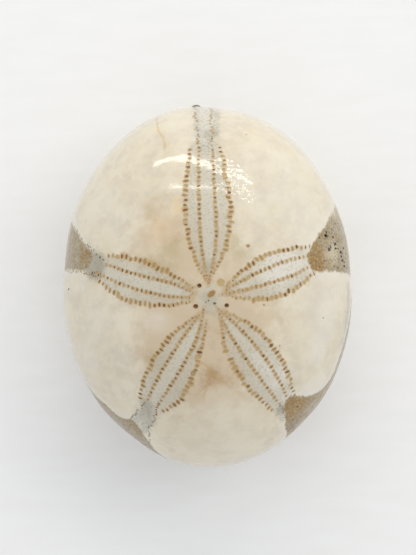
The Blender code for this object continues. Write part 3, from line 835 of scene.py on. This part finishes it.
# Shares that follow a field or a texture: what is read, the values it runs between, and the shares at those values
evenShares = {
    "outer": ("reach", 0.3, 0.9, 0.0, 1.0), "low": ("reach", 0.72, 0.86, 0.0, 0.5),
    "dots": ("grain", 0.50, 0.72, 0.0, 0.8), "inPetal": ("petal", -0.2, 0.4, 0.0, 0.6),
    "inMiddle": ("middle", 3.2, 2.0, 0.0, 0.35), "inVeil": ("veiled", -0.5, 0.3, 0.0, 0.7),
    "nearRow": ("row", 0.9, 0.2, 0.0, 1.0), "paler": ("worn", -0.3, 0.0, 1.0, 0.0),
    "clear": ("veiled", -0.6, 0.2, 1.0, 0.1),
}
softShares = {
    "disc": ("middle", 2.4, 1.4, 0.0, 0.45), "inward": ("middle", 10.0, 4.5, 0.2, 0.85),
    "onCrack": ("wander", 0.02, 0.25, 1.0, 0.0),
}
# Each layer of colour over the one before: colour, the field that drives it, the texture that breaks it up and by how
# much, where it starts, where it is full, how strong it gets and the share that thins it. A short one has only shares.
shellLayers = [
    ("lilac", None, "patch", 1.0, -0.10, 0.16, 0.65),
    ("creamPale", None, "mottle", 1.0, -0.04, 0.16, 0.7),
    ("beige", "beige", "patch", 1.3, 0.12, 1.0, 0.9),
    ("haze", "haze", "cloud", 0.9, 0.1, 0.7, 0.55),
    ("pink", "pink", "mottle", 0.9, 0.2, 0.95, 0.75),
    ("peach", "peach", "ragged", 1.6, 0.2, 1.0, 0.65),
    ("warm", "warm", "ragged", 1.4, 0.25, 1.25, 0.75),
    ("pale", "pale", "mottle", 1.4, -0.2, 0.6, 0.35),
    ("olive", "olive", "mottle", 1.6, 0.15, 0.9, 0.6),
    ("streak", None, "streaks", 1.0, 0.04, 0.26, 0.8),
    ("petalGrey", "petal", "ragged", 0.7, -0.45, 0.6, 0.6),
    ("petalMiddle", "between", "ragged", 0.4, 0.0, 0.5, 0.7),
    ("haze", "frost", "mottle", 0.9, 0.1, 0.9, 0.7),
    ("veil", "veiled", "ragged", 1.4, -0.2, 0.4, 0.85),
    ("haze", "veiled", "mottle", 2.4, 0.55, 1.2, 0.4),
    ("shade", "shade", "ragged", 0.9, 0.15, 0.85, 0.85),
    # painted reflection: the shell is whitened from reach 0.78 over the rim and underneath, standing in for the bright
    # room's sheen on the polish at grazing angles
    ("haze", "reach", "mottle", 0.10, 0.78, 1.0, 0.45),
    # fine grey dots: the pores of the petals' plates and of the thin shell beyond them
    ("petalDots", "dots", "dotted"),
    ("veilDots", "dots", "inVeil"),
    # grey plate in the star's middle
    ("disc", "disc"),
    # a tan line joins the pores of each row, strongest near the star's middle
    ("row", "row", "ragged", 0.3, 0.38, 0.08, 0.75, "inward"),
    ("smudge", "smudge", "ragged", 3.0, 0.45, 1.1, 0.65, "nearRow"),
    # brown seeps a little way into the calcite round each pore, and grey round the finest
    ("halo", "poreEdge", "grain", -0.14, 0.22, 0.0, 0.7, "paler"),
    ("veilDots", "dotEdge", "grain", -0.12, 0.16, 0.0, 0.6, "paler"),
    ("crack", "onCrack", "crackStrength"),
    # thin whitish shell round the worn patches
    ("haze", "worn", "ragged", 1.2, -1.4, -0.1, 0.45, "clear"),
]
sedimentLayers = [
    ("film", "film", "mottle", 0.9, 0.1, 0.8, 0.8),
    ("rust", "rust", "mottle", 1.6, 0.15, 1.0, 0.85),
    ("sedimentPale", None, "grain", -1.0, 0.02, 0.14, 0.4),
    ("sedimentGrain", None, "grain", 1.0, 0.02, 0.14, 0.5),
    ("sedimentDark", None, "speckle", 1.0, 0.14, 0.24, 0.6),
    ("sedimentGrey", None, "rings", 2.0, 0.05, 0.35, 1.0, "low"),
    ("sedimentDark", "dark", "grain", 0.8, 0.2, 0.7, 0.75),
]
bareEdge = ("worn", "ragged", 1.2, -0.18, 0.20, 1.0)  # read like a layer: where the shell ends and sediment is bare
growthLines = {"count": 26.0, "warp": 0.25, "change": 0.05}  # from top to rim, and how they waver
crackWander = 0.8  # millimetres
relief = {"rippleScale": 1.0, "shortScale": 1.7, "shortHeight": -3.0, "height": 0.012}


def makeCalcite():
    material, tree, surface, spot = startMaterial("polished_fossil_calcite")
    add = partial(addNode, tree)
    known = {name: add("ShaderNodeAttribute", {"attribute_name": name}).outputs["Fac"] for name in (
        "reach", "petal", "between", "row", "middle", *outlines, *stains, "crack", "crackStrength", "poreEdge",
        "dotEdge",
    )}
    work = partial(addSteps, tree, known)
    for name, (width, detail, rough) in textureWidths.items():
        known[name] = add("ShaderNodeTexNoise", None, {
            "Vector": spot, "Scale": 1 / width, "Detail": detail, "Roughness": rough,
        })
    # growth lines run round the shell: texture drawn out along them
    work(f"""
        warp = multiply_add cloud {growthLines["warp"]} reach
        wander = multiply_add ragged {crackWander} crack; wander = subtract wander {crackWander / 2}
        wander = absolute wander
    """)
    around = add("ShaderNodeVectorMath", {"operation": "SCALE"}, {0: spot, "Scale": growthLines["change"]})
    ringPlace = add("ShaderNodeVectorMath", {"operation": "MULTIPLY_ADD"}, {
        0: add("ShaderNodeCombineXYZ", None, {0: known["warp"]}), 1: (growthLines["count"], 0, 0), 2: around,
    })
    known["rings"] = add("ShaderNodeTexNoise", None, {
        "Vector": ringPlace, "Scale": 1.0, "Detail": 3.0,
    })
    for shares, softness in ((evenShares, "LINEAR"), (softShares, "SMOOTHSTEP")):
        for name, (source, start, full, least, most) in shares.items():
            known[name] = add("ShaderNodeMapRange", {"interpolation_type": softness}, {
                0: known[source], 1: start, 2: full, 3: least, 4: most,
            })
    work("streaks = multiply rings outer; dotted = maximum inPetal inMiddle")

    def masked(driver, breaker, amount, start, full, strength):
        known["driven"] = known[driver] if driver else 0.0
        work(f"broken = subtract {breaker} 0.5; driven = multiply_add broken {amount} driven")
        return add("ShaderNodeMapRange", {"interpolation_type": "SMOOTHSTEP"}, {
            0: known["driven"], 1: start, 2: full, 3: 0.0, 4: strength,
        })

    def layered(under, over, mask):
        return add("ShaderNodeMix", {"data_type": "RGBA"}, {0: mask, 6: under, 7: over}).outputs[2]

    def addLayers(colour, layers):
        for name, *mask in layers:
            known["mask"] = masked(*mask[:6]) if len(mask) >= 6 else known[mask[0]]
            if len(mask) in (2, 7):
                work(f"mask = multiply mask {mask[-1]}")
            colour = layered(colour, linear(calcite[name]), known["mask"])
        return colour

    shell = add("ShaderNodeValToRGB", {
        "stops": [(0.35, calcite["cream"]), (0.65, calcite["creamPale"])],
    }, {0: known["cloud"]})
    sediment = add("ShaderNodeValToRGB", {
        "stops": [(0.34, calcite["sedimentGrey"]), (0.58, calcite["sediment"])],
    }, {0: known["mottle"]})
    bare = masked(*bareEdge)
    colour = layered(addLayers(shell, shellLayers), addLayers(sediment, sedimentLayers), bare)
    roughness = add("ShaderNodeMapRange", None, {
        0: bare, 1: 0.0, 2: 1.0, 3: calcite["roughness"], 4: calcite["sedimentRoughness"],
    })
    # polishing ripples, and short ones that break up the shine beside the front petal
    known["ripple"] = add("ShaderNodeTexNoise", None, {
        "Vector": spot, "Scale": relief["rippleScale"], "Detail": 3.0,
    })
    known["short"] = add("ShaderNodeTexVoronoi", {"feature": "SMOOTH_F1"}, {
        "Vector": spot, "Scale": relief["shortScale"], "Smoothness": 0.5,
    })
    work(f"""
        rippled = minimum rippled 1; short = multiply short rippled
        height = multiply_add short {relief["shortHeight"]} ripple
    """)
    bump = add("ShaderNodeBump", None, {
        "Height": known["height"], "Strength": 1.0, "Distance": relief["height"] * mm,
    })
    for socket, made in (("Base Color", colour), ("Roughness", roughness.outputs[0]), ("Normal", bump.outputs[0])):
        tree.links.new(made, surface.inputs[socket])
    surface.inputs["IOR"].default_value = calcite["ior"]
    return material


# Iron-stained sediment in the pores: fine clay polished with the shell, tan to dark brown, black-grey in the finest
filling = {
    "stops": [(0.0, "#C3B086"), (0.14, "#B59860"), (0.32, "#9C7A42"), (0.46, "#744A18"), (0.53, "#3C1F0A"),
              (0.60, "#796D57"), (1.0, "#2E2B26")],
    "margin": "#B5A279", "roughness": 0.14,
}


def makeFilling():
    material, tree, surface, spot = startMaterial("iron_stained_sediment")
    add = partial(addNode, tree)
    surface.inputs["Roughness"].default_value = filling["roughness"]
    known = {name: add("ShaderNodeAttribute", {"attribute_name": name}).outputs["Fac"]
             for name in ("tone", "deep")}
    work = partial(addSteps, tree, known)
    known["clay"] = add("ShaderNodeTexNoise", None, {
        "Vector": spot, "Scale": 4.0, "Detail": 3.0,
    })
    # the ramp ends at 1 and the tones at 2
    work("mixed = subtract clay 0.5; mixed = multiply_add mixed 0.5 tone; half = multiply mixed 0.5")
    shade = add("ShaderNodeValToRGB", {"stops": filling["stops"]}, {0: known["half"]})
    inward = add("ShaderNodeMapRange", {"interpolation_type": "SMOOTHSTEP"}, {
        0: known["deep"], 1: -0.15, 2: 0.70, 3: 0.25, 4: 1.0,
    })
    blended = add("ShaderNodeMix", {"data_type": "RGBA"}, {
        0: inward, 6: linear(filling["margin"]), 7: shade,
    })
    tree.links.new(blended.outputs[2], surface.inputs["Base Color"])
    return material


# One mesh from several, with their marks
def joinMeshes(name, parts, material):
    places, faces, base = [], [], 0
    marks = {"tone": [], "deep": []}
    for part in parts:
        count = len(part.vertices)
        places.append(pointsOf(part) * mm)
        for mark, gathered in marks.items():
            values = np.zeros(count)
            part.attributes[mark].data.foreach_get("value", values)
            gathered.append(values)
        faces += [[base + v for v in face.vertices] for face in part.polygons]
        base += count
    made = bpy.data.meshes.new(name)
    made.from_pydata(np.vstack(places).tolist(), [], faces)
    storeFields(made, {mark: np.concatenate(gathered) for mark, gathered in marks.items()})
    made.materials.append(material)
    made.shade_smooth()
    return made


greyTone = 1.05  # the fillings from this tone on are grey, and so is the stain round them
sharpAngle = 32  # degrees: edges that turn by more stay crisp, as round the pores


def buildFossil():
    stone, clay = makeCalcite(), makeFilling()
    form = buildShellForm(stone)
    raiseSwells(form)
    print("shell form,", len(form.vertices), "points")
    skin = addObject("fossil", form)
    bpy.context.view_layer.update()
    tree = buildPoreTree(poreSettings(outerPores, skin, clay))
    cuts = [layPores(name, lines, tree, poreSettings(sizes, skin, clay)) for name, lines, sizes in (
        ("outer_rows", petalRows("outer"), outerPores), ("inner_rows", petalRows("inner"), innerPores),
        ("trail_rows", trailRows(), trailPores), ("mouth_rows", mouthRows(), mouthPores),
    )]
    form.materials.clear()
    form.materials.append(stone)
    cuts += laySingles(skin)
    cutter = addObject("pore_cutter", joinMeshes("pore_cutter", cuts, clay))
    boring = skin.modifiers.new("pores", "BOOLEAN")
    boring.operation = "DIFFERENCE"
    boring.solver = "MANIFOLD"
    boring.material_mode = "TRANSFER"
    boring.object = cutter
    graph = bpy.context.evaluated_depsgraph_get()
    bored = bpy.data.meshes.new_from_object(skin.evaluated_get(graph), depsgraph=graph)
    skin.modifiers.clear()
    skin.data = bored
    bored.calc_loop_triangles()
    print("pores bored,", len(bored.loop_triangles), "triangles,", [m.name for m in bored.materials])
    points = pointsOf(bored)
    fields = surfaceFields(points)
    tones = np.zeros(len(cutter.data.vertices))
    cutter.data.attributes["tone"].data.foreach_get("value", tones)
    for name, chosen in (("poreEdge", tones < greyTone), ("dotEdge", tones >= greyTone)):
        near = kdtree.KDTree(int(chosen.sum()))
        for k, place in enumerate(pointsOf(cutter.data)[chosen]):
            near.insert(place, k)
        near.balance()
        fields[name] = [near.find(place)[2] for place in points]
    storeFields(bored, fields)
    bored.set_sharp_from_angle(angle=math.radians(sharpAngle))
    bpy.data.objects.remove(cutter)
    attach(skin, "root")
    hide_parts("sand_dollar")
    print("fossil finished")


buildFossil()

# White board under the fossil: matt card, a little uneven in tone
board = {"colour": "#F7F7F7", "shaded": "#F5F5F4", "fibres": (0.12, 0.5, 0), "size": 1600.0, "drop": 0.02,
         "roughness": 0.7}


def buildBoard():
    half, drop = board["size"] / 2 * mm, -board["drop"] * mm
    data = bpy.data.meshes.new("board")
    data.from_pydata([(-half, -half, drop), (half, -half, drop), (half, half, drop), (-half, half, drop)], [],
                     [(0, 1, 2, 3)])
    material, tree, surface, spot = startMaterial("matt_white_card", board["fibres"])
    surface.inputs["Roughness"].default_value = board["roughness"]
    fibre = addNode(tree, "ShaderNodeTexNoise", None, {"Vector": spot, "Scale": 1.0, "Detail": 4.0})
    stops = [(0.35, board["shaded"]), (0.65, board["colour"])]
    tone = addNode(tree, "ShaderNodeValToRGB", {"stops": stops}, {0: fibre})
    tree.links.new(tone.outputs[0], surface.inputs["Base Color"])
    data.materials.append(material)
    made = addObject("board", data)


buildBoard()

# Camera: straight above, turned with the picture
camera = {"x": 0.112, "y": 1.207, "height": 310.0, "turn": -2.0, "lens": 140.1}


def placeCamera():
    data = bpy.data.cameras.new("camera")
    data.lens = camera["lens"]
    data.clip_start, data.clip_end = 0.01, 10.0
    made = addObject("camera", data)
    made.location = Vector((camera["x"], camera["y"], camera["height"])) * mm
    made.rotation_euler = (0, 0, math.radians(camera["turn"]))
    bpy.context.scene.camera = made


placeCamera()

# Light: two long strips beyond the fossil's front, whose reflections are the two arcs on it, a broad window up and to
# the right, and a soft pale room
lights = {
    "room": ("#F5F7FA", 0.812),
    "glow": "#FFFAF0",
    "panels": {  # place, size, tilt in degrees, watts and whether the polish mirrors it
        "low_strip": ((0, 600, 326), (850, 52), 15.5, 1.15, True),
        "high_strip": ((60, 600, 598), (800, 28), 2.0, 0.56, True),
        "window": ((850, 450, 750), (700, 700), 0.0, 2.2, False),
    },
}


def placeLights():
    world = bpy.data.worlds.new("room")
    world.use_nodes = True
    background = world.node_tree.nodes["Background"]
    background.inputs[0].default_value = linear(lights["room"][0])
    background.inputs[1].default_value = lights["room"][1]
    bpy.context.scene.world = world
    for name, (place, size, tilt, watts, mirrored) in lights["panels"].items():
        data = bpy.data.lights.new(name, "AREA")
        data.shape = "RECTANGLE"
        data.size, data.size_y = (side * mm for side in size)
        data.energy, data.color = watts, linear(lights["glow"])[:3]
        made = addObject(name, data)
        made.location = Vector(place) * mm
        made.rotation_euler = (-made.location).to_track_quat("-Z", "Y").to_euler()
        made.rotation_euler.rotate_axis("Z", math.radians(-tilt))
        made.visible_glossy = mirrored


placeLights()
bpy.context.scene.view_settings.view_transform = "Standard"
print("stage, camera and lights placed")
